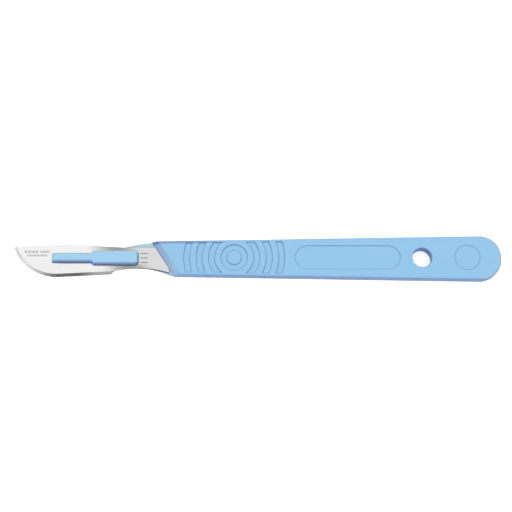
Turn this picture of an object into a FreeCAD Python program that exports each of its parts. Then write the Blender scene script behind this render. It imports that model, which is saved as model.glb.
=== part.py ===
"""Disposable scalpel: one moulded plastic handle that carries one fixed steel blade.

Millimetres, +Z up. The scalpel lies on its back face. The butt points to +X, the blade's tip
to -X, and the cutting edge faces -Y. The origin lies on the supporting surface, under the
middle of the overall length, with Y = 0 on the handle's centreline.
"""

import FreeCAD, Part
import math
import os

# Lengths from the shoulder, the slanted step where the blade leaves the handle
blade_reach = 47.9
handle_length = 108.1

# Handle body
handle_thickness = 4.5
front_width = 11.1
butt_width = 14.4
butt_flat = 1.0
draft_angle = 1.5
edge_radius = 0.7

# Shoulder
shoulder_slant = 33.5
shoulder_bevel = 45.0
shoulder_back_bevel = 70.0

# Nose: the thin tongue behind the blade
nose_length = 36.6
nose_seat_height = 2.25
nose_root_thickness = 1.5
nose_tip_thickness = 1.0
nose_tip_width = 5.0
nose_waist_distance = 12.6
nose_waist_top = 3.75
nose_waist_bottom = 2.9
nose_top_bulge = 0.28
nose_bottom_hollow = 1.0
nose_root_step = 0.15
nose_toe = 0.8
nose_edge_bevel = 0.35

# Boss: the long key on the nose that holds the blade's slot
boss_offset = 0.2
boss_distance = 7.8
boss_wide_length = 14.4
boss_wide_width = 4.6
boss_narrow_length = 13.2
boss_step_angle = 45.0
boss_rear_radius = 1.2
boss_neck_width = 2.4
boss_lip = 0.35
boss_height = 1.6
boss_crown_radius = 0.9
boss_lead_length = 2.2
boss_lead_drop = 0.5

# Blade
blade_thickness = 0.4
blade_tip_height = 3.9
belly_radius = 15.0
belly_depth = 6.0
crest_distance = 17.0
crest_height = 4.65
heel_distance = 31.5
heel_depth = 5.15
heel_run = 1.9
heel_rise = 1.4
heel_hollow = 0.28
neck_hollow = 0.93
tang_straight = 10.0
tang_top = 3.72
tang_bottom = 4.65
tang_corner_distance = 2.0
grind_width = 1.05
grind_overrun = 30.0
grind_margin = 0.005
edge_land = 0.02
slot_clearance = 0.05
tang_clearance = 0.1

# Grip: concentric grooves on both faces
grip_distance = 22.85
grip_groove_count = 4
grip_first_radius = 2.25
grip_groove_width = 2.1
grip_rib_width = 1.85
grip_depth = 0.45
grip_border = 0.85
relief_draft = 15.0

# Oval panel, round panel and hang hole
oval_distance = 59.0
oval_length = 33.6
oval_width = 7.8
oval_depth = 0.3
disc_distance = 97.1
disc_diameter = 8.0
disc_depth = 0.15
hole_distance = 82.7
hole_diameter = 6.2
hole_chamfer = 0.25

# Ejector pin marks on the back face
ejector_diameter = 3.0
ejector_depth = 0.08
ejector_distances = (45.7, 61.7, 73.7)

# How far a cutting solid reaches past the surface that it cuts
overcut = 1.0

# Places worked out from the sizes above
overall_length = blade_reach + handle_length
tip_x = -overall_length / 2
butt_x = overall_length / 2
shoulder_x = tip_x + blade_reach
butt_radius = (butt_width - butt_flat) / 2
slant_tangent = math.tan(math.radians(shoulder_slant))
blade_back = nose_seat_height
blade_face = blade_back + blade_thickness
boss_rear_x = shoulder_x - boss_distance
boss_step_x = boss_rear_x - boss_wide_length
boss_front_x = boss_step_x - boss_narrow_length


def point(x, y, z=0.0):
    """A point, or a direction, of the model."""
    return FreeCAD.Vector(x, y, z)


def line(start, end):
    """A straight edge."""
    return Part.makeLine(start, end)


def arc(start, middle, end):
    """A round edge through three points."""
    return Part.Arc(start, middle, end).toShape()


def bowed(start, end, bow):
    """A round edge that leaves its chord by bow, to the left of the way from start to end."""
    chord = end - start
    left = point(-chord.y, chord.x).normalize()
    return arc(start, (start + end) * 0.5 + left * bow, end)


def polyline(points):
    """Straight edges through the points, in their order."""
    return [line(a, b) for a, b in zip(points, points[1:])]


def plan_face(edges, height=0.0):
    """A flat face of the given outline, lifted to a height."""
    face = Part.Face(Part.Wire(edges))
    face.translate(point(0, 0, height))
    return face


def plan_prism(edges, bottom, top):
    """An upright prism of the given outline between two heights."""
    return plan_face(edges, bottom).extrude(point(0, 0, top - bottom))


def draft_inset(depth, angle):
    """How far a wall with draft moves sideways over a depth."""
    return depth * math.tan(math.radians(angle))


def tilted_loft(lower, upper):
    """A solid with straight walls between two outlines that have the same edges."""
    return Part.makeLoft([lower, upper], True, True)


def mirrored_height(shape):
    """The shape on the other face of the handle."""
    middle = point(0, 0, handle_thickness / 2)
    return shape.mirror(middle, point(0, 0, 1))


def shoulder_at(y, behind=0.0):
    """X on the shoulder's line at a given Y, moved square to the line towards the butt."""
    return shoulder_x - slant_tangent * y + behind / math.cos(math.radians(shoulder_slant))


def touch_direction(centre, radius, outside):
    """Unit vector from a circle's centre to where a line from an outside point touches it."""
    reach = outside - centre
    bearing = math.atan2(reach.y, reach.x) - math.acos(radius / reach.Length)
    return point(math.cos(bearing), math.sin(bearing))


def butt_centre():
    """Centre of the butt's upper round corner, in plan."""
    return point(butt_x - butt_radius, butt_flat / 2)


def side_direction():
    """The way that the upper side faces, which is also where it meets the butt's corner."""
    corner = point(shoulder_x, front_width / 2)
    return touch_direction(butt_centre(), butt_radius, corner)


def side_slope():
    """How fast the handle's half width grows towards the butt."""
    outward = side_direction()
    return -outward.x / outward.y


def half_section():
    """Half of the handle's section at the butt: drafted side, parting edge, rounded rims."""
    draft = math.radians(draft_angle)
    middle = handle_thickness / 2
    rim_z = middle - edge_radius
    rim_r = butt_radius - rim_z * math.tan(draft) - edge_radius / math.cos(draft)
    outward = side_direction()

    def place(r, z):
        return butt_centre() + outward * r + point(0, 0, middle + z)

    def on_rim(angle, side):
        reach = rim_r + edge_radius * math.cos(angle)
        return place(reach, side * (rim_z + edge_radius * math.sin(angle)))

    bisector = (draft + math.pi / 2) / 2
    upper = [place(rim_r, middle), on_rim(bisector, 1), on_rim(draft, 1)]
    lower = [place(rim_r, -middle), on_rim(bisector, -1), on_rim(draft, -1)]
    edges = polyline([upper[2], place(butt_radius, 0), lower[2]])
    edges.append(arc(lower[2], lower[1], lower[0]))
    edges += polyline([lower[0], place(0, -middle), place(0, middle), upper[0]])
    edges.append(arc(upper[0], upper[1], upper[2]))
    return Part.Face(Part.Wire(edges))


def handle_blank():
    """The bar that the handle is cut from: its half section run along the sides and butt."""
    section = half_section()
    outward = side_direction()
    forward = point(-outward.y, outward.x)
    reach = butt_centre().x - shoulder_at(front_width / 2) + butt_width
    turn = math.degrees(math.atan2(outward.y, outward.x))
    corner = section.revolve(butt_centre(), point(0, 0, -1), turn)
    upper = section.extrude(forward * reach).fuse(corner)
    lower = upper.mirror(point(0, 0), point(0, 1))
    section.rotate(butt_centre(), point(0, 0, 1), -turn)
    butt_end = section.extrude(point(0, -butt_flat))
    core = plan_prism(centre_strip(reach), 0.0, handle_thickness)
    return upper.fuse([lower, butt_end, core]).removeSplitter()


def centre_strip(reach):
    """Plan outline of the strip between the inner edges of the handle's two halves."""
    rear = butt_centre()
    front_x = rear.x - reach
    corners = [point(front_x, rear.y), rear, point(rear.x, -rear.y), point(front_x, -rear.y)]
    return polyline(corners + corners[:1])


def grip_field():
    """The part of the front face, inside a plain border, that the grip may cover."""
    outward = side_direction()
    join = butt_centre() + outward * (butt_radius - grip_border)
    run = join.x - shoulder_at(front_width / 2)
    front = join - point(run, run * side_slope())
    corners = [front, join, point(join.x, -join.y), point(front.x, -front.y)]
    floor = handle_thickness - grip_depth
    return plan_prism(polyline(corners + corners[:1]), floor, handle_thickness + overcut)


def slanted_prism(profile):
    """A prism along the shoulder's line, from points of distance behind it and height."""
    slant = math.radians(shoulder_slant)
    along = point(-math.sin(slant), math.cos(slant))
    behind = point(math.cos(slant), math.sin(slant))
    half_span = nose_length + butt_width
    start = point(shoulder_x, 0) - along * half_span
    corners = [start + behind * s + point(0, 0, z) for s, z in profile]
    face = Part.Face(Part.makePolygon(corners + corners[:1]))
    return face.extrude(along * (2 * half_span))


def shoulder_cutter():
    """All that lies in front of the shoulder, with its bevel on either face."""
    slope = math.tan(math.radians(shoulder_bevel))
    back_slope = math.tan(math.radians(shoulder_back_bevel))
    nose_back = nose_seat_height - nose_root_thickness
    top = handle_thickness + overcut
    far = -(nose_length + butt_width)
    profile = [
        (far, -overcut),
        ((nose_back + overcut) / back_slope, -overcut),
        (0.0, nose_back),
        (0.0, blade_face),
        ((top - blade_face) / slope, top),
        (far, top),
    ]
    return slanted_prism(profile)


def nose_root(side):
    """Where the nose leaves the shoulder, just inside the handle's side, +1 above, -1 below."""
    half = front_width / 2 - nose_root_step
    y = side * half / (1 + side * slant_tangent * side_slope())
    return point(shoulder_at(y), y)


def nose_outline():
    """Plan outline of the nose: rooted across the shoulder, waisted, with a round front end."""
    tip_half = nose_tip_width / 2
    tip_centre = point(shoulder_x - nose_length + tip_half, boss_offset)
    waist_x = shoulder_x - nose_waist_distance
    upper_waist = point(waist_x, nose_waist_top)
    lower_waist = point(waist_x, -nose_waist_bottom)
    upper_tip = tip_centre + point(0, tip_half)
    lower_tip = tip_centre - point(0, tip_half)
    toe = nose_root(-1) - point(nose_toe, 0)
    inside = point(butt_radius, 0)
    return [
        bowed(nose_root(1), upper_waist, -nose_top_bulge),
        line(upper_waist, upper_tip),
        arc(upper_tip, tip_centre - point(tip_half, 0), lower_tip),
        line(lower_tip, lower_waist),
        bowed(lower_waist, toe, nose_bottom_hollow),
        line(toe, nose_root(-1) + inside),
        line(nose_root(-1) + inside, nose_root(1) + inside),
        line(nose_root(1) + inside, nose_root(1)),
    ]


def nose_taper_cutter():
    """The wedge under the nose that thins it evenly to its front end."""
    root_x = nose_root(-1).x + butt_radius
    end_x = shoulder_x - nose_length
    root = nose_seat_height - nose_root_thickness
    slope = (nose_root_thickness - nose_tip_thickness) / (root_x - end_x)
    far_x = end_x - overcut
    near_x = root_x + overcut
    corners = [
        point(near_x, -butt_width, root - slope * overcut),
        point(far_x, -butt_width, root + slope * (root_x - far_x)),
        point(far_x, -butt_width, root - overcut),
        point(near_x, -butt_width, root - overcut),
    ]
    face = Part.Face(Part.makePolygon(corners + corners[:1]))
    return face.extrude(point(0, 2 * butt_width, 0))


def nose_tongue():
    """The nose, thinned to its front end, with the edges of its back bevelled."""
    prism = plan_prism(nose_outline(), 0.0, nose_seat_height)
    tongue = prism.cut(nose_taper_cutter())
    back = min(tongue.Faces, key=lambda face: face.CenterOfMass.z)
    return tongue.makeChamfer(nose_edge_bevel, back.Edges)


def key_outline(narrow_width, wide_width, front_x, rear_x, rear_radius, step_shift=0.0):
    """Plan outline of the boss or slot: a narrow part, slanted steps and a wide part."""
    narrow = narrow_width / 2
    wide = wide_width / 2
    step_x = boss_step_x + step_shift
    step_start_x = step_x - (wide - narrow) / math.tan(math.radians(boss_step_angle))
    flat = wide - rear_radius
    turn_x = rear_x - rear_radius
    bend = rear_radius * math.sqrt(0.5)
    corners = [
        (turn_x, wide),
        (step_x, wide),
        (step_start_x, narrow),
        (front_x, narrow),
        (front_x, -narrow),
        (step_start_x, -narrow),
        (step_x, -wide),
        (turn_x, -wide),
    ]
    points = [point(x, boss_offset + y) for x, y in corners]
    upper = point(rear_x, boss_offset + flat)
    lower = point(rear_x, boss_offset - flat)
    return polyline(points) + [
        arc(points[-1], point(turn_x + bend, lower.y - bend), lower),
        line(lower, upper),
        arc(upper, point(turn_x + bend, upper.y + bend), points[0]),
    ]


def boss_column():
    """The part of the boss that fills the blade's slot."""
    edges = key_outline(boss_neck_width, boss_wide_width, boss_front_x + boss_lip, boss_rear_x,
                        boss_rear_radius)
    return plan_prism(edges, nose_seat_height, blade_face)


def boss_head():
    """The rounded head above the blade, with lips over the narrow part of the slot."""
    narrow_width = boss_neck_width + 2 * boss_lip
    edges = key_outline(narrow_width, boss_wide_width, boss_front_x, boss_rear_x,
                        boss_rear_radius)
    crown_z = blade_face + boss_height
    head = plan_prism(edges, blade_face, crown_z).cut(boss_lead_cutter())
    lead_x = boss_front_x + boss_lead_length
    rims = [edge for edge in head.Edges if is_crown_rim(edge, crown_z, lead_x)]
    return head.makeFillet(boss_crown_radius, rims)


def is_crown_rim(edge, crown_z, lead_x):
    """Whether an edge of the boss's head runs round its crown or its lead."""
    box = edge.BoundBox
    low_end = crown_z - boss_lead_drop - edge_land
    on_fold = box.XLength < edge_land and abs(box.Center.x - lead_x) < edge_land
    return box.ZMin > low_end and not on_fold


def boss_lead_cutter():
    """The ramp at the boss's front end, which leads the blade's slot on to it."""
    crown = blade_face + boss_height
    slope = boss_lead_drop / boss_lead_length
    start_x = boss_front_x + boss_lead_length
    far_x = boss_front_x - overcut
    corners = [
        point(start_x, -boss_wide_width, crown),
        point(far_x, -boss_wide_width, crown - slope * (start_x - far_x)),
        point(far_x, -boss_wide_width, crown + overcut),
        point(start_x, -boss_wide_width, crown + overcut),
    ]
    face = Part.Face(Part.makePolygon(corners + corners[:1]))
    return face.extrude(point(0, 2 * boss_wide_width, 0))


def cone_pocket(x, radius, depth):
    """A shallow round pocket with drafted walls in the front face."""
    floor = handle_thickness - depth
    inset = draft_inset(depth, relief_draft)
    outset = draft_inset(overcut, relief_draft)
    return Part.makeCone(radius - inset, radius + outset, depth + overcut, point(x, 0, floor))


def grip_groove(inner_radius):
    """One groove of the grip, open to the front face, with drafted walls."""
    grip_x = shoulder_x + grip_distance
    floor = handle_thickness - grip_depth
    inset = draft_inset(grip_depth, relief_draft)
    outset = draft_inset(overcut, relief_draft)
    disc = cone_pocket(grip_x, inner_radius + grip_groove_width, grip_depth)
    island = Part.makeCone(inner_radius + inset, inner_radius - outset, grip_depth + overcut,
                           point(grip_x, 0, floor))
    return disc.cut(island)


def grip_grooves():
    """The grip's grooves on the front face, held inside a plain border."""
    pitch = grip_groove_width + grip_rib_width
    radii = [grip_first_radius + pitch * i for i in range(grip_groove_count)]
    return Part.makeCompound([grip_groove(r) for r in radii]).common(grip_field())


def stadium(length, width, centre_x, height):
    """A level outline with straight sides and full round ends."""
    half = width / 2
    left = centre_x - length / 2 + half
    right = centre_x + length / 2 - half
    edges = [
        line(point(right, half), point(left, half)),
        arc(point(left, half), point(left - half, 0), point(left, -half)),
        line(point(left, -half), point(right, -half)),
        arc(point(right, -half), point(right + half, 0), point(right, half)),
    ]
    wire = Part.Wire(edges)
    wire.translate(point(0, 0, height))
    return wire


def oval_panel():
    """The shallow oval panel in the front face, with drafted walls."""
    centre_x = shoulder_x + oval_distance
    inset = 2 * draft_inset(oval_depth, relief_draft)
    outset = 2 * draft_inset(overcut, relief_draft)
    floor = stadium(oval_length - inset, oval_width - inset, centre_x,
                    handle_thickness - oval_depth)
    mouth = stadium(oval_length + outset, oval_width + outset, centre_x,
                    handle_thickness + overcut)
    return tilted_loft(floor, mouth)


def hang_hole():
    """The through hole near the butt, with a small chamfer at either rim."""
    x = shoulder_x + hole_distance
    radius = hole_diameter / 2
    bore = Part.makeCylinder(radius, handle_thickness + 2 * overcut, point(x, 0, -overcut))
    rim = Part.makeCone(radius, radius + hole_chamfer + overcut, hole_chamfer + overcut,
                        point(x, 0, handle_thickness - hole_chamfer))
    return bore.fuse([rim, mirrored_height(rim)])


def ejector_marks():
    """The round witness marks that the mould's ejector pins leave on the back face."""
    marks = []
    for distance in ejector_distances:
        centre = point(shoulder_x + distance, 0, -overcut)
        marks.append(Part.makeCylinder(ejector_diameter / 2, overcut + ejector_depth, centre))
    return marks


def make_handle():
    """The whole moulding: body, shoulder, nose, boss, grip, panels and hang hole."""
    body = handle_blank().cut(shoulder_cutter())
    body = body.fuse([nose_tongue(), boss_column(), boss_head()])
    disc = cone_pocket(shoulder_x + disc_distance, disc_diameter / 2, disc_depth)
    grooves = grip_grooves()
    cuts = [grooves, mirrored_height(grooves), oval_panel(), disc, hang_hole()]
    return body.cut(cuts + ejector_marks()).removeSplitter()


def belly_centre():
    """Centre of the cutting edge's round belly, and its lowest point's X."""
    rise = belly_radius - (blade_tip_height + belly_depth)
    run = math.sqrt(belly_radius ** 2 - rise ** 2)
    return point(tip_x + run, belly_radius - belly_depth)


def blade_outline():
    """Plan outline of the blade: belly, straight edge, heel, neck, tang, spine and tip."""
    tip = point(tip_x, blade_tip_height)
    heel = point(tip_x + heel_distance, -heel_depth)
    centre = belly_centre()
    touch = centre + touch_direction(centre, belly_radius, heel) * belly_radius
    belly_middle = centre + ((tip + touch) * 0.5 - centre).normalize() * belly_radius
    neck = heel + point(heel_run, heel_rise)
    corner = point(shoulder_x + tang_corner_distance, -tang_bottom)
    gap = -tang_clearance
    cut_y = (shoulder_at(0.0, gap) - corner.x) / slant_tangent
    tang_cut = point(corner.x, cut_y)
    tang_end = point(shoulder_at(tang_top, gap), tang_top)
    tang_start = point(shoulder_x - tang_straight, tang_top)
    crest = point(tip_x + crest_distance, crest_height)
    return [
        arc(tip, belly_middle, touch),
        line(touch, heel),
        bowed(heel, neck, heel_hollow),
        bowed(neck, corner, neck_hollow),
        line(corner, tang_cut),
        line(tang_cut, tang_end),
        line(tang_end, tang_start),
        spine_fall(tang_start, crest),
        spine_arc(crest, tip),
    ]


def spine_fall(tang_start, crest):
    """The soft double bend of the spine between the tang and its crest."""
    third = point((tang_start.x - crest.x) / 3, 0)
    curve = Part.BezierCurve()
    curve.setPoles([tang_start, tang_start - third, crest + third, crest])
    return curve.toShape()


def spine_arc(crest, tip):
    """The long arc of the spine, level at its crest and down to the tip."""
    run = crest.x - tip.x
    drop = crest.y - tip.y
    radius = (run ** 2 + drop ** 2) / (2 * drop)
    middle_run = run / 2
    middle_drop = radius - math.sqrt(radius ** 2 - middle_run ** 2)
    return arc(crest, point(crest.x - middle_run, crest.y - middle_drop), tip)


def grind_boundary(inset, height):
    """A level outline of all outside the cutting edge, moved into the blade by inset."""
    centre = belly_centre()
    radius = belly_radius - inset
    heel = point(tip_x + heel_distance, -heel_depth)
    bearing = touch_direction(centre, belly_radius, heel)
    along = point(-bearing.y, bearing.x)
    past_heel = (heel - centre).dot(along) + heel_run
    tip_angle = math.atan2(blade_tip_height - centre.y, tip_x - centre.x)
    start_angle = tip_angle + 2 * math.pi - math.radians(grind_overrun)
    end_angle = math.atan2(bearing.y, bearing.x) + 2 * math.pi
    middle_angle = (start_angle + end_angle) / 2
    start = centre + point(math.cos(start_angle), math.sin(start_angle)) * radius
    middle = centre + point(math.cos(middle_angle), math.sin(middle_angle)) * radius
    end = centre + bearing * radius
    finish = end + along * past_heel
    floor_y = -butt_width
    far_x = tip_x - butt_width
    edges = [arc(start, middle, end), line(end, finish)]
    edges += polyline([finish, point(finish.x, floor_y), point(far_x, floor_y),
                       point(far_x, start.y), start])
    wire = Part.Wire(edges)
    wire.translate(point(0, 0, height))
    return wire


def grind_cutter():
    """What the grinding takes off the front side of the cutting edge."""
    land_top = blade_back + (blade_thickness + edge_land) / 2
    rise = blade_face - land_top
    slope = grind_width / rise
    lower = grind_boundary(-slope * grind_margin, land_top - grind_margin)
    upper = grind_boundary(grind_width + slope * rise, blade_face + rise)
    return tilted_loft(lower, upper)


def blade_slot():
    """The keyhole slot that fits the boss's column with a clearance all round."""
    gap = slot_clearance
    step_shift = -gap * math.tan(math.radians(boss_step_angle / 2))
    edges = key_outline(boss_neck_width + 2 * gap, boss_wide_width + 2 * gap,
                        boss_front_x + boss_lip - gap, boss_rear_x + gap,
                        boss_rear_radius + gap, step_shift)
    return plan_prism(edges, blade_back - overcut, blade_face + overcut)


def make_blade():
    """The blade: a flat blank, ground from both sides along its edge, with its slot."""
    blank = plan_prism(blade_outline(), blade_back, blade_face)
    front_grind = grind_cutter()
    middle = point(0, 0, blade_back + blade_thickness / 2)
    back_grind = front_grind.mirror(middle, point(0, 0, 1))
    return blank.cut([front_grind, back_grind, blade_slot()])


def main():
    """Make both pieces and write one file for each."""
    os.makedirs("parts", exist_ok=True)
    make_handle().exportStep("parts/handle.step")
    make_blade().exportStep("parts/blade.step")


main()
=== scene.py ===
"""Looks of a disposable scalpel: its moulded handle, its ground blade and a plain studio.

Metres, +Z up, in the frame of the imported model. The scalpel lies on its back face with its
butt to +X, its tip to -X and its cutting edge to -Y.
"""

import logging
import math
from dataclasses import dataclass, field
from enum import Enum

import bmesh
import bpy
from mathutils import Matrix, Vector


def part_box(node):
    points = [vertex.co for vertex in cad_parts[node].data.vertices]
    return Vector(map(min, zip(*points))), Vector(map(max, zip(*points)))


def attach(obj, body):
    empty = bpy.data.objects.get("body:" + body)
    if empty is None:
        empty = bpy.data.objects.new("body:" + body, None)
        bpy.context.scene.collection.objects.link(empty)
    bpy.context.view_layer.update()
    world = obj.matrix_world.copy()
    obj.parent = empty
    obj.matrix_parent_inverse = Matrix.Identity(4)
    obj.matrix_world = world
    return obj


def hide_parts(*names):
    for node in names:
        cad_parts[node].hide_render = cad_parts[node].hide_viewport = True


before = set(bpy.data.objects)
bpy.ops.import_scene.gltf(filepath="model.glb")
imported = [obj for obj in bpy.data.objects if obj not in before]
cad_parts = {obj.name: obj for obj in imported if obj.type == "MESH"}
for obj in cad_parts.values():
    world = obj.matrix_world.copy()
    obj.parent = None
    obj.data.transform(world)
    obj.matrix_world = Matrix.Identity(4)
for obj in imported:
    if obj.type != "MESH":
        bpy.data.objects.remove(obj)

MM = 0.001
BODY = "root"
SAME_POINT = 0.001 * MM
SAME_PLANE = math.radians(0.3)

# Places of the Mix node's sockets when it mixes colours, because several share one name
MIX_SHARE = 0
MIX_FIRST = 6
MIX_SECOND = 7
MIX_RESULT = 2

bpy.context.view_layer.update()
log = logging.getLogger("scalpel")

Colour = tuple[float, float, float]
Span = tuple[float, float]
Stretch = tuple[float, float, float]
Paint = Colour | bpy.types.NodeSocket


class Skin(Enum):
    """The kinds of surface that the blade's rolling, grinding and stamping leave."""

    FLAT = 0
    GROUND = 1
    SHEARED = 2


def rgba(colour: Colour) -> tuple[float, float, float, float]:
    """The colour with full opacity."""
    return (*colour, 1.0)


class Graph:
    """A material's node tree, with short ways to add and join its nodes."""

    def __init__(self, name: str) -> None:
        """Start a material that holds one Principled shader.

        Args:
            name: The material's name.
        """
        self.material = bpy.data.materials.new(name)
        self.material.use_nodes = True
        self.tree = self.material.node_tree
        self.shader = self.tree.nodes["Principled BSDF"]

    def add(self, kind: str, **settings: object) -> bpy.types.Node:
        """Add one node.

        Args:
            kind: The node's Blender type, without its ShaderNode prefix.
            settings: The node's own properties.

        Returns:
            The new node.
        """
        node = self.tree.nodes.new("ShaderNode" + kind)
        for key, value in settings.items():
            setattr(node, key, value)
        return node

    def join(self, source: bpy.types.NodeSocket, target: bpy.types.NodeSocket) -> None:
        """Lead one socket into another."""
        self.tree.links.new(source, target)

    def give(self, name: str, value: float | tuple[float, ...]) -> None:
        """Set one of the shader's own sockets, the same all over the surface."""
        self.shader.inputs[name].default_value = value

    def place(self, stretch: Stretch = (1.0, 1.0, 1.0)) -> bpy.types.NodeSocket:
        """Object coordinates, stretched.

        Args:
            stretch: Factor on each axis.

        Returns:
            The socket with the coordinates.
        """
        source = self.add("TexCoord")
        mapping = self.add("Mapping")
        mapping.inputs["Scale"].default_value = stretch
        self.join(source.outputs["Object"], mapping.inputs["Vector"])
        return mapping.outputs["Vector"]

    def facing(self, name: str) -> bpy.types.NodeSocket:
        """How far the surface faces along one axis, X, Y or Z."""
        return self.axis(self.add("NewGeometry").outputs["Normal"], name)

    def axis(self, vector: bpy.types.NodeSocket, name: str) -> bpy.types.NodeSocket:
        """One axis of a vector.

        Args:
            vector: The socket with the vector.
            name: X, Y or Z.

        Returns:
            The socket with the axis's value.
        """
        split = self.add("SeparateXYZ")
        self.join(vector, split.inputs["Vector"])
        return split.outputs[name]

    def math(self, kind: str, first: bpy.types.NodeSocket,
             second: bpy.types.NodeSocket | float) -> bpy.types.NodeSocket:
        """A sum, product or the like of a varying value and another one.

        Args:
            kind: Blender's name for the operation.
            first: The varying value.
            second: The other value, varying or constant.

        Returns:
            The socket with the result.
        """
        node = self.add("Math", operation=kind)
        self.join(first, node.inputs[0])
        if isinstance(second, float):
            node.inputs[1].default_value = second
        else:
            self.join(second, node.inputs[1])
        return node.outputs[0]

    def noise(self, place: bpy.types.NodeSocket, detail: float = 2.0) -> bpy.types.NodeSocket:
        """Soft random values from 0 to 1.

        Args:
            place: The coordinates to read, with about one feature in one unit.
            detail: How many finer layers are added.

        Returns:
            The socket with the values.
        """
        node = self.add("TexNoise")
        node.inputs["Scale"].default_value = 1.0
        node.inputs["Detail"].default_value = detail
        self.join(place, node.inputs["Vector"])
        return node.outputs["Fac"]

    def span(self, value: bpy.types.NodeSocket, low: float, high: float,
             start: float = 0.0, end: float = 1.0) -> bpy.types.NodeSocket:
        """A value brought softly from one range to another, clamped.

        Args:
            value: The socket to read.
            low: The result where the value is at start.
            high: The result where the value is at end.
            start: The value's low end.
            end: The value's high end.

        Returns:
            The socket with the result.
        """
        node = self.add("MapRange", interpolation_type="SMOOTHSTEP")
        node.inputs["From Min"].default_value = start
        node.inputs["From Max"].default_value = end
        node.inputs["To Min"].default_value = low
        node.inputs["To Max"].default_value = high
        self.join(value, node.inputs["Value"])
        return node.outputs["Result"]

    def blend(self, share: bpy.types.NodeSocket, first: Paint,
              second: Paint) -> bpy.types.NodeSocket:
        """A colour between two, by a share.

        Args:
            share: 0 for the first colour, 1 for the second.
            first: The first colour, plain or varying.
            second: The second colour, plain or varying.

        Returns:
            The socket with the colour.
        """
        node = self.add("Mix", data_type="RGBA")
        for paint, place in ((first, MIX_FIRST), (second, MIX_SECOND)):
            if isinstance(paint, tuple):
                node.inputs[place].default_value = rgba(paint)
            else:
                self.join(paint, node.inputs[place])
        self.join(share, node.inputs[MIX_SHARE])
        return node.outputs[MIX_RESULT]

    def vary_roughness(self, share: bpy.types.NodeSocket, span: Span) -> None:
        """Bring the shader's roughness from the span's low to its high end, by a share."""
        self.join(self.span(share, *span), self.shader.inputs["Roughness"])

    def bump(self, height: bpy.types.NodeSocket, depth: float) -> None:
        """Give the surface fine relief.

        Args:
            height: The socket with heights from 0 to 1.
            depth: The real height of the relief, in metres.
        """
        node = self.add("Bump")
        node.inputs["Distance"].default_value = depth
        self.join(height, node.inputs["Height"])
        self.join(node.outputs["Normal"], self.shader.inputs["Normal"])


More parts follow.
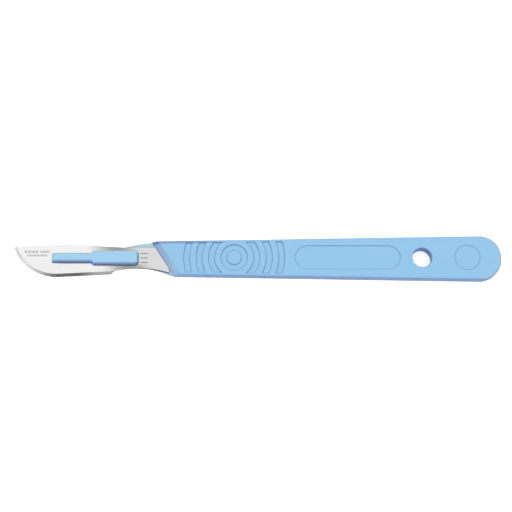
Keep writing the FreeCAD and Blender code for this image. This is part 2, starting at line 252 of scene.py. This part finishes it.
@dataclass(frozen=True)
class MouldedPlastic:
    """Opaque blue plastic, with painted shade on the sides and along some rims, and painted light
    that makes the thin nose greener, the boss paler and the shoulder and the butt's rim greyer.

    The places are the handle's own, along its length (x), across it (y) and upwards (z). A lean
    is how far a face looks along one axis, from where its tone begins to where it is full.
    """

    nose_end_x: float
    nose_end_slant: float
    nose_top_z: float
    disc_x: float
    disc_radius: float
    boss_end_x: float
    shoulder_end_x: float
    butt_x: float
    deep: Colour = (0.150, 0.327, 0.507)
    pale: Colour = (0.167, 0.348, 0.530)
    # Painted shade: the colour that upright walls are painted, also used for the lines of painted
    # shade along the disc's groove, the spine's rim and the boss's flank towards the edge.
    side: Colour = (0.100, 0.170, 0.335)
    # Painted light: the paler, greyer tone painted on the shoulder's slope that faces the tip.
    shoulder: Colour = (0.224, 0.340, 0.530)
    # Painted sheen: the greyer tone painted on the rounded rim round the butt.
    butt: Colour = (0.215, 0.337, 0.430)
    # Painted light: the boss is painted paler than the handle's face.
    boss: Colour = (0.198, 0.382, 0.540)
    # Painted light: the paler, greener tone of the nose, also painted on the boss's flank towards
    # the spine as a reflection of the steel.
    nose: Colour = (0.225, 0.385, 0.440)
    # Painted shadow: the nose's walls under the blade are painted nearly black.
    nose_painted_shadow: Colour = (0.045, 0.075, 0.100)
    side_slope: float = 0.15
    face_slope: float = 0.70
    soft_step: float = 0.20 * MM
    # Painted shade: the line along the disc's groove.
    line_width: float = 0.30 * MM
    line_shade_share: float = 0.60
    # Painted shade along the spine's front rim, fading out along the grip.
    spine_shade_share: float = 0.90
    spine_run: Span = (-21.0 * MM, -4.0 * MM)
    spine_y: float = 5.03 * MM
    spine_rise: float = 0.0214
    shoulder_lean: Span = (-0.10, -0.40)
    # Painted shade on the boss's flank towards the cutting edge.
    boss_shade_share: float = 0.90
    boss_spine_lean: Span = (0.05, 0.50)
    boss_edge_lean: Span = (-0.10, -0.60)
    butt_run: float = 2.0 * MM
    butt_rim: Span = (5.4 * MM, 7.0 * MM)
    flow_stretch: Stretch = (60.0, 220.0, 220.0)
    flow_detail: float = 3.0
    sheen_stretch: Stretch = (400.0, 400.0, 400.0)
    roughness: Span = (0.29, 0.39)
    grain_stretch: Stretch = (6000.0, 6000.0, 6000.0)
    grain_detail: float = 1.0
    grain_depth: float = 0.002 * MM
    refraction: float = 1.53

    def material(self, name: str, gloss: float) -> bpy.types.Material:
        """The finish as a material.

        Args:
            name: The material's name.
            gloss: The shader's specular level.

        Returns:
            The new material.
        """
        graph = Graph(name)
        on_nose = self.nose_mask(graph)
        # Painted light: the nose's faces take its paler, greener tone.
        face = graph.blend(on_nose, self.level_tone(graph), self.nose)
        # Painted shade: the more upright a face stands, the more it takes the darker side colour,
        # and on the nose the painted shadow.
        side = graph.blend(on_nose, self.side, self.nose_painted_shadow)
        upright = graph.facing("Z")
        level = graph.math("MULTIPLY", upright, upright)
        wall_shade_share = graph.span(level, 0.0, 1.0, self.side_slope ** 2, self.face_slope ** 2)
        graph.join(graph.blend(wall_shade_share, side, face), graph.shader.inputs["Base Color"])
        graph.give("Specular IOR Level", gloss)
        graph.give("IOR", self.refraction)
        graph.vary_roughness(graph.noise(graph.place(self.sheen_stretch)), self.roughness)
        grain = graph.noise(graph.place(self.grain_stretch), self.grain_detail)
        graph.bump(grain, self.grain_depth)
        return graph.material

    def level_tone(self, graph: Graph) -> bpy.types.NodeSocket:
        """The tone of all that faces more up or down than sideways, apart from the nose, with its
        painted light and shade.

        Args:
            graph: The material's graph.

        Returns:
            The socket with the colour.
        """
        flow = graph.noise(graph.place(self.flow_stretch), self.flow_detail)
        on_boss = self.boss_mask(graph, 1.0)
        boss_spine_painted_reflection = self.boss_side_mask(graph, 1.0, self.boss_spine_lean)
        # Painted shade on the boss's flank towards the edge, joined with the painted shade along
        # the spine's rim.
        boss_edge_painted_shade = self.boss_side_mask(graph, self.boss_shade_share, self.boss_edge_lean)
        painted_shade = graph.math("MAXIMUM", self.spine_shade_mask(graph), boss_edge_painted_shade)
        tone = graph.blend(flow, self.deep, self.pale)
        # Painted shade along the disc's groove.
        tone = graph.blend(self.disc_line_shade_mask(graph), tone, self.side)
        # Painted light on the shoulder's slope.
        tone = graph.blend(self.shoulder_light_mask(graph), tone, self.shoulder)
        # Painted sheen on the rim round the butt.
        tone = graph.blend(self.butt_sheen_mask(graph), tone, self.butt)
        # Painted light: the boss is painted paler.
        tone = graph.blend(on_boss, tone, self.boss)
        # Painted reflection of the steel on the boss's flank towards the spine.
        tone = graph.blend(boss_spine_painted_reflection, tone, self.nose)
        # Painted shade over the rest: along the spine's rim and on the boss's flank towards the
        # edge.
        return graph.blend(painted_shade, tone, self.side)

    def nose_mask(self, graph: Graph) -> bpy.types.NodeSocket:
        """Where the thin nose is, in front of the slanting shoulder and under its top, which
        carries painted light on its faces and painted shadow on its walls.

        Args:
            graph: The material's graph.

        Returns:
            The socket with 1 on the nose and 0 elsewhere.
        """
        place = graph.place()
        slanted = graph.math("MULTIPLY", graph.axis(place, "Y"), self.nose_end_slant)
        along = graph.math("ADD", graph.axis(place, "X"), slanted)
        before = graph.span(along, 1.0, 0.0, self.nose_end_x - self.soft_step, self.nose_end_x)
        below = graph.span(graph.axis(place, "Z"), 1.0, 0.0, self.nose_top_z,
                           self.nose_top_z + self.soft_step)
        return graph.math("MULTIPLY", before, below)

    def shoulder_light_mask(self, graph: Graph) -> bpy.types.NodeSocket:
        """Where the shoulder's slope to the nose is, which is painted paler and greyer as painted
        light.

        Args:
            graph: The material's graph.

        Returns:
            The socket with the share of the shoulder's painted light.
        """
        in_front = graph.span(graph.axis(graph.place(), "X"), 1.0, 0.0,
                              self.shoulder_end_x - self.soft_step, self.shoulder_end_x)
        begun, full = self.shoulder_lean
        leaning = graph.span(graph.facing("X"), 1.0, 0.0, full, begun)
        return graph.math("MULTIPLY", in_front, leaning)

    def boss_mask(self, graph: Graph, share: float) -> bpy.types.NodeSocket:
        """Where the boss is.

        Args:
            graph: The material's graph.
            share: What the mask gives on the boss.

        Returns:
            The socket with the share on the boss and 0 behind it.
        """
        along = graph.axis(graph.place(), "X")
        return graph.span(along, share, 0.0, self.boss_end_x - self.soft_step, self.boss_end_x)

    def boss_side_mask(self, graph: Graph, share: float, lean: Span) -> bpy.types.NodeSocket:
        """Where one long side of the boss is.

        Args:
            graph: The material's graph.
            share: What the mask gives where the side leans most.
            lean: How far across the side looks where its tone begins and where it is full.

        Returns:
            The socket with the share on that side.
        """
        begun, full = lean
        low, high = (0.0, 1.0) if begun < full else (1.0, 0.0)
        leaning = graph.span(graph.facing("Y"), low, high, min(lean), max(lean))
        return graph.math("MULTIPLY", self.boss_mask(graph, share), leaning)

    def spine_shade_mask(self, graph: Graph) -> bpy.types.NodeSocket:
        """Where painted shade lies along the front rim of the spine, fading out along the grip.

        Args:
            graph: The material's graph.

        Returns:
            The socket with the share of the painted shade.
        """
        place = graph.place()
        along = graph.axis(place, "X")
        before = graph.span(along, self.spine_shade_share, 0.0, *self.spine_run)
        across = graph.math("SUBTRACT", graph.axis(place, "Y"),
                            graph.math("MULTIPLY", along, self.spine_rise))
        at_rim = graph.span(across, 0.0, 1.0, self.spine_y, self.spine_y + self.soft_step)
        return graph.math("MULTIPLY", before, at_rim)

    def disc_line_shade_mask(self, graph: Graph) -> bpy.types.NodeSocket:
        """Where the round panel's rim is, a line of painted shade along its groove.

        Args:
            graph: The material's graph.

        Returns:
            The socket with the line's share, 0 away from the rim.
        """
        from_rim = graph.math("SUBTRACT", self.away_from(graph, self.disc_x), self.disc_radius)
        off_line = graph.math("ABSOLUTE", from_rim, 0.0)
        line = graph.span(off_line, self.line_shade_share, 0.0, 0.0, self.line_width)
        front = graph.span(graph.axis(graph.place(), "Z"), 0.0, 1.0, self.nose_top_z,
                           self.nose_top_z + self.soft_step)
        return graph.math("MULTIPLY", line, front)

    def butt_sheen_mask(self, graph: Graph) -> bpy.types.NodeSocket:
        """Where a painted sheen turns the plastic greyer, towards the rim round the butt.

        Args:
            graph: The material's graph.

        Returns:
            The socket with the share of the butt's painted sheen.
        """
        behind = graph.span(graph.axis(graph.place(), "X"), 0.0, 1.0,
                            self.butt_x - self.butt_run, self.butt_x + self.butt_run)
        to_rim = graph.span(self.away_from(graph, self.butt_x), 0.0, 1.0, *self.butt_rim)
        return graph.math("MULTIPLY", behind, to_rim)

    def away_from(self, graph: Graph, x: float) -> bpy.types.NodeSocket:
        """The distance in plan from a point on the handle's centreline.

        Args:
            graph: The material's graph.
            x: Where the point is.

        Returns:
            The socket with the distance.
        """
        place = graph.place()
        along = graph.math("SUBTRACT", graph.axis(place, "X"), x)
        across = graph.axis(place, "Y")
        square = graph.math("ADD", graph.math("MULTIPLY", along, along),
                            graph.math("MULTIPLY", across, across))
        return graph.math("POWER", square, 0.5)


@dataclass(frozen=True)
class RolledSteel:
    """Stainless strip with fine lengthwise lines, and a painted reflection that darkens the tang
    and darkens the neck most.
    """

    tip_x: float
    name: str = "rolled_blade_steel"
    bright: Colour = (0.390, 0.391, 0.390)
    # Painted reflection: the tang painted darker than the blade's face, and the neck darkest.
    tang: Colour = (0.320, 0.316, 0.318)
    neck: Colour = (0.146, 0.150, 0.148)
    tang_begins: Span = (30.0 * MM, 37.0 * MM)
    neck_begins: Span = (24.5 * MM, 35.0 * MM)
    neck_ends: Span = (35.8 * MM, 43.5 * MM)
    neck_lean: float = 0.72
    neck_from_axis: Span = (1.2 * MM, 2.7 * MM)
    axis_y: float = 0.2 * MM
    line_stretch: Stretch = (60.0, 4000.0, 4000.0)
    line_detail: float = 3.0
    line_depth: float = 0.0005 * MM
    roughness: Span = (0.17, 0.25)

    def material(self) -> bpy.types.Material:
        """The finish as a material.

        Returns:
            The new material.
        """
        graph = Graph(self.name)
        place = graph.place()
        along = graph.math("SUBTRACT", graph.axis(place, "X"), self.tip_x)
        across = graph.math("SUBTRACT", graph.axis(place, "Y"), self.axis_y)
        # Painted reflection: darker on the tang and darkest at the neck.
        face = graph.blend(graph.span(along, 0.0, 1.0, *self.tang_begins), self.bright, self.tang)
        neck_dark_reflection = self.neck_reflection_mask(graph, along, across)
        graph.join(graph.blend(neck_dark_reflection, face, self.neck), graph.shader.inputs["Base Color"])
        graph.give("Metallic", 1.0)
        lines = graph.noise(graph.place(self.line_stretch), self.line_detail)
        graph.vary_roughness(lines, self.roughness)
        graph.bump(lines, self.line_depth)
        return graph.material

    def neck_reflection_mask(self, graph: Graph, along: bpy.types.NodeSocket,
                  across: bpy.types.NodeSocket) -> bpy.types.NodeSocket:
        """Where a dark reflection is painted at the neck, on both sides of the slot and slanting
        across the blade.

        Args:
            graph: The material's graph.
            along: The distance behind the tip.
            across: The distance from the slot's axis.

        Returns:
            The socket with the share of the neck's painted reflection.
        """
        leaning = graph.math("ADD", along, graph.math("MULTIPLY", across, self.neck_lean))
        begun = graph.span(leaning, 0.0, 1.0, *self.neck_begins)
        left = graph.span(leaning, 1.0, 0.0, *self.neck_ends)
        off_axis = graph.math("ABSOLUTE", across, 0.0)
        outer = graph.span(off_axis, 0.0, 1.0, *self.neck_from_axis)
        return graph.math("MULTIPLY", graph.math("MULTIPLY", begun, left), outer)


@dataclass(frozen=True)
class GroundSteel:
    """The cutting edge's ground band, with painted reflection that lightens it at the very point,
    more towards the tip and towards the heel, so it is darkest at the belly, and with coarse lines
    across the edge.
    """

    tip_x: float
    name: str = "ground_edge_steel"
    light: Colour = (0.245, 0.245, 0.245)
    dark: Colour = (0.185, 0.185, 0.185)
    # Painted reflection along the band: at the very point, towards the tip and towards the heel.
    point_reflection: Colour = (0.41, 0.41, 0.41)
    tip_reflection: Colour = (0.92, 0.92, 0.92)
    heel_reflection: Colour = (0.60, 0.58, 0.57)
    point_ends: Span = (1.0 * MM, 4.8 * MM)
    tip_ends: Span = (5.5 * MM, 15.0 * MM)
    heel_begins: Span = (20.5 * MM, 28.0 * MM)
    line_stretch: Stretch = (9000.0, 900.0, 900.0)
    line_depth: float = 0.001 * MM
    roughness: Span = (0.20, 0.30)

    def material(self) -> bpy.types.Material:
        """The finish as a material.

        Returns:
            The new material.
        """
        graph = Graph(self.name)
        along = graph.math("SUBTRACT", graph.axis(graph.place(), "X"), self.tip_x)
        near_point = graph.span(along, 1.0, 0.0, *self.point_ends)
        near_tip = graph.span(along, 1.0, 0.0, *self.tip_ends)
        near_heel = graph.span(along, 0.0, 1.0, *self.heel_begins)
        lines = graph.noise(graph.place(self.line_stretch))
        ground = graph.blend(lines, self.dark, self.light)
        # Painted reflection along the band's length.
        ground = graph.blend(near_tip, ground, self.tip_reflection)
        ground = graph.blend(near_point, ground, self.point_reflection)
        ground = graph.blend(near_heel, ground, self.heel_reflection)
        graph.join(ground, graph.shader.inputs["Base Color"])
        graph.give("Metallic", 1.0)
        graph.vary_roughness(lines, self.roughness)
        graph.bump(lines, self.line_depth)
        return graph.material


@dataclass(frozen=True)
class DarkSteel:
    """Dull steel, as shearing leaves on the blade's rim and etching on its marks; on the rim it is
    also painted near black as shade.
    """

    name: str
    dark: Colour
    light: Colour
    roughness: Span
    grain_stretch: Stretch = (5000.0, 5000.0, 5000.0)

    def material(self) -> bpy.types.Material:
        """The finish as a material.

        Returns:
            The new material.
        """
        graph = Graph(self.name)
        grain = graph.noise(graph.place(self.grain_stretch))
        graph.join(graph.blend(grain, self.dark, self.light), graph.shader.inputs["Base Color"])
        graph.give("Metallic", 1.0)
        graph.vary_roughness(grain, self.roughness)
        return graph.material


@dataclass(frozen=True)
class LightTable:
    """Plain white paper on a light table, which keeps the scalpel's shadow pale."""

    name: str = "white_paper"
    colour: Colour = (0.96, 0.96, 0.96)
    glow: float = 0.45
    roughness: float = 0.9

    def material(self) -> bpy.types.Material:
        """The finish as a material.

        Returns:
            The new material.
        """
        graph = Graph(self.name)
        graph.give("Base Color", rgba(self.colour))
        graph.give("Roughness", self.roughness)
        graph.give("Emission Color", rgba(self.colour))
        graph.give("Emission Strength", self.glow)
        return graph.material


def whole_copy(node: str) -> bmesh.types.BMesh:
    """A CAD node's mesh with its loose triangles merged and its flat faces whole.

    Args:
        node: The CAD node's name.

    Returns:
        The merged mesh, which the caller frees.
    """
    shape = bmesh.new()
    shape.from_mesh(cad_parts[node].data)
    bmesh.ops.remove_doubles(shape, verts=shape.verts, dist=SAME_POINT)
    bmesh.ops.dissolve_limit(shape, angle_limit=SAME_PLANE, verts=shape.verts, edges=shape.edges)
    return shape


def new_piece(name: str, shape: bmesh.types.BMesh) -> bpy.types.Object:
    """An object in the scene with the given mesh, which is freed.

    Args:
        name: The piece's name.
        shape: The mesh, in place.

    Returns:
        The object, at the origin.
    """
    mesh = bpy.data.meshes.new(name)
    shape.to_mesh(mesh)
    shape.free()
    if "custom_normal" in mesh.attributes:
        mesh.attributes.remove(mesh.attributes["custom_normal"])
    piece = bpy.data.objects.new(name, mesh)
    bpy.context.scene.collection.objects.link(piece)
    return piece


def make_plain(piece: bpy.types.Object) -> None:
    """Turn what a piece's modifiers make into its own plain mesh, and remove them.

    Args:
        piece: The object with the modifiers.
    """
    graph = bpy.context.evaluated_depsgraph_get()
    mesh = bpy.data.meshes.new_from_object(piece.evaluated_get(graph), depsgraph=graph)
    piece.modifiers.clear()
    piece.data = mesh


def report(piece: bpy.types.Object) -> None:
    """Log a finished piece."""
    log.info("%s: %d points, %d faces", piece.name, len(piece.data.vertices),
             len(piece.data.polygons))


@dataclass
class MouldedHandle:
    """The handle's one moulding, with the small rounding that a mould leaves on every rim."""

    name: str = "moulded_handle"
    node: str = "handle"
    rim: float = 0.08 * MM
    rim_steps: int = 2
    rim_angle: float = math.radians(35.0)
    flat_weight: int = 100
    wall_limit: float = 0.5
    face_gloss: float = 0.50
    wall_gloss: float = 0.06
    plastic: MouldedPlastic = MouldedPlastic(
        nose_end_x=-30.0 * MM,
        nose_end_slant=0.66,
        nose_top_z=2.3 * MM,
        disc_x=67.0 * MM,
        disc_radius=4.0 * MM,
        boss_end_x=-35.5 * MM,
        shoulder_end_x=-25.5 * MM,
        butt_x=71.3 * MM,
    )

    def build(self) -> bpy.types.Object:
        """Make the moulding in the CAD node's place.

        Returns:
            The finished piece.
        """
        shape = whole_copy(self.node)
        for face in shape.faces:
            face.smooth = True
        piece = new_piece(self.name, shape)
        piece.data.materials.append(self.plastic.material("glossy_blue_plastic", self.face_gloss))
        piece.data.materials.append(self.plastic.material("matte_blue_plastic", self.wall_gloss))
        self.round_rims(piece)
        make_plain(piece)
        for face in piece.data.polygons:
            face.material_index = int(abs(face.normal.z) < self.wall_limit)
        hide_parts(self.node)
        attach(piece, BODY)
        return piece

    def round_rims(self, piece: bpy.types.Object) -> None:
        """Add the modifiers that round the rims and keep the flat faces flat.

        Args:
            piece: The moulding, with its faces smooth.
        """
        bevel = piece.modifiers.new("rims", "BEVEL")
        bevel.width = self.rim
        bevel.segments = self.rim_steps
        bevel.limit_method = "ANGLE"
        bevel.angle_limit = self.rim_angle
        bevel.use_clamp_overlap = False
        weighted = piece.modifiers.new("flat_faces", "WEIGHTED_NORMAL")
        weighted.weight = self.flat_weight


@dataclass
class GroundBlade:
    """The blade, with a finish of its own on each kind of surface and the tang's rim eased.

    The limits are how level a face lies: 1 is flat on the floor and 0 is upright.
    """

    tip_x: float
    finishes: dict[Skin, bpy.types.Material]
    name: str = "ground_blade"
    node: str = "blade"
    flat_limit: float = 0.999
    ground_limit: float = 0.7
    eased_rim: float = 0.14 * MM
    eased_from: float = 40.5 * MM
    eased_lean: float = -0.3
    eased_steps: int = 1
    eased_profile: float = 0.5

    def build(self) -> bpy.types.Object:
        """Make the blade in the CAD node's place.

        Returns:
            The finished piece.
        """
        shape = whole_copy(self.node)
        for face in shape.faces:
            face.smooth = True
            face.material_index = self.skin(face).value
        self.ease_rim(shape)
        for edge in shape.edges:
            skins = {face.material_index for face in edge.link_faces}
            edge.smooth = len(skins) == 1
        piece = new_piece(self.name, shape)
        for skin in Skin:
            piece.data.materials.append(self.finishes[skin])
        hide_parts(self.node)
        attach(piece, BODY)
        return piece

    def ease_rim(self, shape: bmesh.types.BMesh) -> None:
        """Ease the tang's sharp front rim on the cutting side, as tumbling does, and give it the
        sheared steel, painted near black as a line of shade.

        Args:
            shape: The blade, with a skin on each face.
        """
        rim = [edge for edge in shape.edges if self.on_tang_rim(edge)]
        eased = bmesh.ops.bevel(shape, geom=rim, offset=self.eased_rim, offset_type="OFFSET",
                                segments=self.eased_steps, profile=self.eased_profile,
                                affect="EDGES", clamp_overlap=False)
        for face in eased["faces"]:
            face.smooth = True
            face.material_index = Skin.SHEARED.value

    def on_tang_rim(self, edge: bmesh.types.BMEdge) -> bool:
        """Whether an edge lies on the tang's front rim, on the cutting side.

        Args:
            edge: An edge of the blade.

        Returns:
            True where the front face meets the sheared rim behind the neck.
        """
        if min(point.co.x for point in edge.verts) < self.tip_x + self.eased_from:
            return False
        front = any(face.normal.z > self.flat_limit for face in edge.link_faces)
        below = any(face.normal.y < self.eased_lean and abs(face.normal.z) < self.ground_limit
                    for face in edge.link_faces)
        return front and below

    def skin(self, face: bmesh.types.BMFace) -> Skin:
        """The kind of surface that a face belongs to.

        Args:
            face: A face of the blade.

        Returns:
            Flat, ground or sheared, by how level the face is.
        """
        level = abs(face.normal.z)
        if level > self.flat_limit:
            return Skin.FLAT
        if level > self.ground_limit:
            return Skin.GROUND
        return Skin.SHEARED


@dataclass(frozen=True)
class BarRow:
    """One row of plain bars, all sizes in millimetres and the turn in radians.

    The first bar's middle lies behind the blade's tip and across from the handle's centreline.
    """

    count: int
    pitch: float
    behind_tip: float
    across: float
    bar_width: float
    bar_length: float
    turn: float = 0.0


class BarRowTree:
    """The Geometry Nodes tree that makes one row of bars."""

    def __init__(self) -> None:
        """Build the tree, with a named input for each size."""
        self.tree = bpy.data.node_groups.new("etched_bar_row", "GeometryNodeTree")
        self.keys: dict[str, str] = {}
        self.source = self.tree.nodes.new("NodeGroupInput")
        self.add_inputs()
        self.lay_row()

    def add_inputs(self) -> None:
        """Give the tree its named inputs and its output."""
        kinds = {
            "Bars": "NodeSocketInt",
            "Pitch": "NodeSocketFloat",
            "Bar Size": "NodeSocketVector",
            "Start": "NodeSocketVector",
            "Turn": "NodeSocketVector",
            "Steel": "NodeSocketMaterial",
        }
        for name, kind in kinds.items():
            socket = self.tree.interface.new_socket(name, in_out="INPUT", socket_type=kind)
            self.keys[name] = socket.identifier
        self.tree.interface.new_socket("Geometry", in_out="OUTPUT",
                                       socket_type="NodeSocketGeometry")

    def add(self, kind: str, **inputs: bpy.types.NodeSocket) -> bpy.types.Node:
        """Add one node and lead sockets into it.

        Args:
            kind: The node's Blender type.
            inputs: Source sockets by the input's name, with underscores for spaces.

        Returns:
            The new node.
        """
        node = self.tree.nodes.new(kind)
        for name, source in inputs.items():
            self.tree.links.new(source, node.inputs[name.replace("_", " ")])
        return node

    def lay_row(self) -> None:
        """Lay the bars on a line of points, turn the row and move it into place."""
        given = self.source.outputs
        step = self.add("ShaderNodeCombineXYZ", X=given["Pitch"])
        points = self.add("GeometryNodeMeshLine", Count=given["Bars"],
                          Offset=step.outputs["Vector"])
        bar = self.add("GeometryNodeMeshCube", Size=given["Bar Size"])
        row = self.add("GeometryNodeInstanceOnPoints", Points=points.outputs["Mesh"],
                       Instance=bar.outputs["Mesh"])
        placed = self.add("GeometryNodeTransform", Geometry=row.outputs["Instances"],
                          Translation=given["Start"], Rotation=given["Turn"])
        solid = self.add("GeometryNodeRealizeInstances", Geometry=placed.outputs["Geometry"])
        painted = self.add("GeometryNodeSetMaterial", Geometry=solid.outputs["Geometry"],
                           Material=given["Steel"])
        self.add("NodeGroupOutput", Geometry=painted.outputs["Geometry"])

    def mesh(self, values: dict[str, object]) -> bpy.types.Mesh:
        """The mesh of one row.

        Args:
            values: What each named input is set to.

        Returns:
            A plain mesh, in place.
        """
        carrier = bpy.data.objects.new("bar_row", bpy.data.meshes.new("bar_row"))
        bpy.context.scene.collection.objects.link(carrier)
        modifier = carrier.modifiers.new("row", "NODES")
        modifier.node_group = self.tree
        for name, value in values.items():
            modifier[self.keys[name]] = value
        graph = bpy.context.evaluated_depsgraph_get()
        mesh = bpy.data.meshes.new_from_object(carrier.evaluated_get(graph), depsgraph=graph)
        bpy.data.objects.remove(carrier)
        return mesh


@dataclass
class BladeMarks:
    """Plain etched bars where such blades carry their marks."""

    tip_x: float
    face_z: float
    steel: bpy.types.Material
    name: str = "etched_marks"
    proud: float = 0.008 * MM
    sunk: float = 0.004 * MM
    rows: tuple[BarRow, ...] = (
        BarRow(count=10, pitch=0.44, behind_tip=3.75, across=2.30, bar_width=0.19, bar_length=0.70),
        BarRow(count=7, pitch=0.44, behind_tip=8.75, across=2.30, bar_width=0.19, bar_length=0.70),
        BarRow(count=15, pitch=0.44, behind_tip=4.60, across=1.08, bar_width=0.18, bar_length=0.66),
        BarRow(count=3, pitch=1.45, behind_tip=41.90, across=-1.20, bar_width=0.30, bar_length=2.40,
               turn=math.radians(90.0)),
    )

    def build(self) -> bpy.types.Object:
        """Make all rows as one piece on the blade's front face.

        Returns:
            The finished piece.
        """
        tree = BarRowTree()
        shape = bmesh.new()
        for row in self.rows:
            shape.from_mesh(tree.mesh(self.values(row)))
        piece = new_piece(self.name, shape)
        piece.data.materials.append(self.steel)
        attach(piece, BODY)
        return piece

    def values(self, row: BarRow) -> dict[str, object]:
        """What the tree's named inputs are set to for one row.

        Args:
            row: The row to make.

        Returns:
            A value for each named input, in metres.
        """
        middle_z = self.face_z + (self.proud - self.sunk) / 2
        return {
            "Bars": row.count,
            "Pitch": row.pitch * MM,
            "Bar Size": (row.bar_width * MM, row.bar_length * MM, self.proud + self.sunk),
            "Start": (self.tip_x + row.behind_tip * MM, row.across * MM, middle_z),
            "Turn": (0.0, 0.0, row.turn),
            "Steel": self.steel,
        }


@dataclass
class PhotoCamera:
    """The camera that saw the scalpel: almost from above, from the cutting edge's side.

    The sensor's width is in millimetres, as Blender has it, and both angles are in radians.
    """

    distance: float = 0.360
    elevation: float = math.radians(75.5)
    view_width: float = math.radians(25.52)
    sensor_width: float = 36.0
    clip_start: float = 0.01
    aim: Vector = field(default_factory=lambda: Vector((-0.314, 0.43, 4.5)) * MM)

    def build(self) -> None:
        """Make the camera and set it as the scene's own."""
        data = bpy.data.cameras.new("photo_camera")
        data.sensor_width = self.sensor_width
        data.lens = self.sensor_width / 2 / math.tan(self.view_width / 2)
        data.clip_start = self.clip_start
        camera = bpy.data.objects.new("photo_camera", data)
        back = Vector((0.0, -math.cos(self.elevation), math.sin(self.elevation)))
        camera.location = self.aim + back * self.distance
        camera.rotation_mode = "QUATERNION"
        camera.rotation_quaternion = (-back).to_track_quat("-Z", "Y")
        bpy.context.scene.collection.objects.link(camera)
        bpy.context.scene.camera = camera


@dataclass(frozen=True)
class Softbox:
    """One large soft light, turned to the scalpel."""

    name: str
    place: tuple[float, float, float]
    width: float
    depth: float
    radiance: float

    def build(self) -> None:
        """Make the light and turn it to the middle of the floor."""
        data = bpy.data.lights.new(self.name, "AREA")
        data.shape = "RECTANGLE"
        data.size = self.width
        data.size_y = self.depth
        data.energy = self.radiance * math.pi * self.width * self.depth
        light = bpy.data.objects.new(self.name, data)
        light.location = self.place
        light.rotation_mode = "QUATERNION"
        light.rotation_quaternion = (-Vector(self.place)).to_track_quat("-Z", "Y")
        bpy.context.scene.collection.objects.link(light)


@dataclass
class Studio:
    """A white floor in a pale room, with soft light from both sides of the camera."""

    floor_size: float = 4.0
    room_colour: Colour = (1.0, 1.0, 1.0)
    room_light: float = 0.42
    softboxes: tuple[Softbox, ...] = (
        Softbox("spine_softbox", place=(0.0, 0.36, 0.60), width=1.80, depth=0.68, radiance=1.95),
        Softbox("edge_softbox", place=(0.0, -0.43, 0.56), width=1.80, depth=0.42, radiance=2.30),
    )

    def build(self) -> None:
        """Make the floor, the lights and the room."""
        self.make_floor()
        for softbox in self.softboxes:
            softbox.build()
        self.make_room()
        bpy.context.scene.view_settings.view_transform = "Standard"

    def make_floor(self) -> None:
        """A plain sheet that the scalpel lies on."""
        mesh = bpy.data.meshes.new("floor")
        shape = bmesh.new()
        bmesh.ops.create_grid(shape, x_segments=1, y_segments=1, size=self.floor_size / 2)
        shape.to_mesh(mesh)
        shape.free()
        mesh.materials.append(LightTable().material())
        floor = bpy.data.objects.new("floor", mesh)
        bpy.context.scene.collection.objects.link(floor)

    def make_room(self) -> None:
        """The pale room around the lights."""
        world = bpy.data.worlds.new("room")
        world.use_nodes = True
        background = world.node_tree.nodes["Background"]
        background.inputs["Color"].default_value = rgba(self.room_colour)
        background.inputs["Strength"].default_value = self.room_light
        bpy.context.scene.world = world


def main() -> None:
    """Build the pieces in order, then the studio and the camera round them."""
    blade_low, blade_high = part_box("blade")
    tip_x = blade_low[0]
    face_z = blade_high[2]
    # The sheared rim: dull steel, with painted shade in its near-black colour, which draws the dark
    # line under the tang.
    rim_steel_and_shade = DarkSteel("sheared_rim_steel", dark=(0.01, 0.01, 0.01), light=(0.03, 0.03, 0.03),
                          roughness=(0.45, 0.55))
    mark_steel = DarkSteel("etched_mark_steel", dark=(0.10, 0.10, 0.095),
                           light=(0.16, 0.16, 0.15), roughness=(0.40, 0.50))
    finishes = {
        Skin.FLAT: RolledSteel(tip_x).material(),
        Skin.GROUND: GroundSteel(tip_x).material(),
        Skin.SHEARED: rim_steel_and_shade.material(),
    }
    report(MouldedHandle().build())
    report(GroundBlade(tip_x, finishes).build())
    report(BladeMarks(tip_x, face_z, mark_steel.material()).build())
    Studio().build()
    PhotoCamera().build()


if __name__ == "__main__":
    logging.basicConfig(level=logging.INFO, format="%(name)s: %(message)s")
    main()
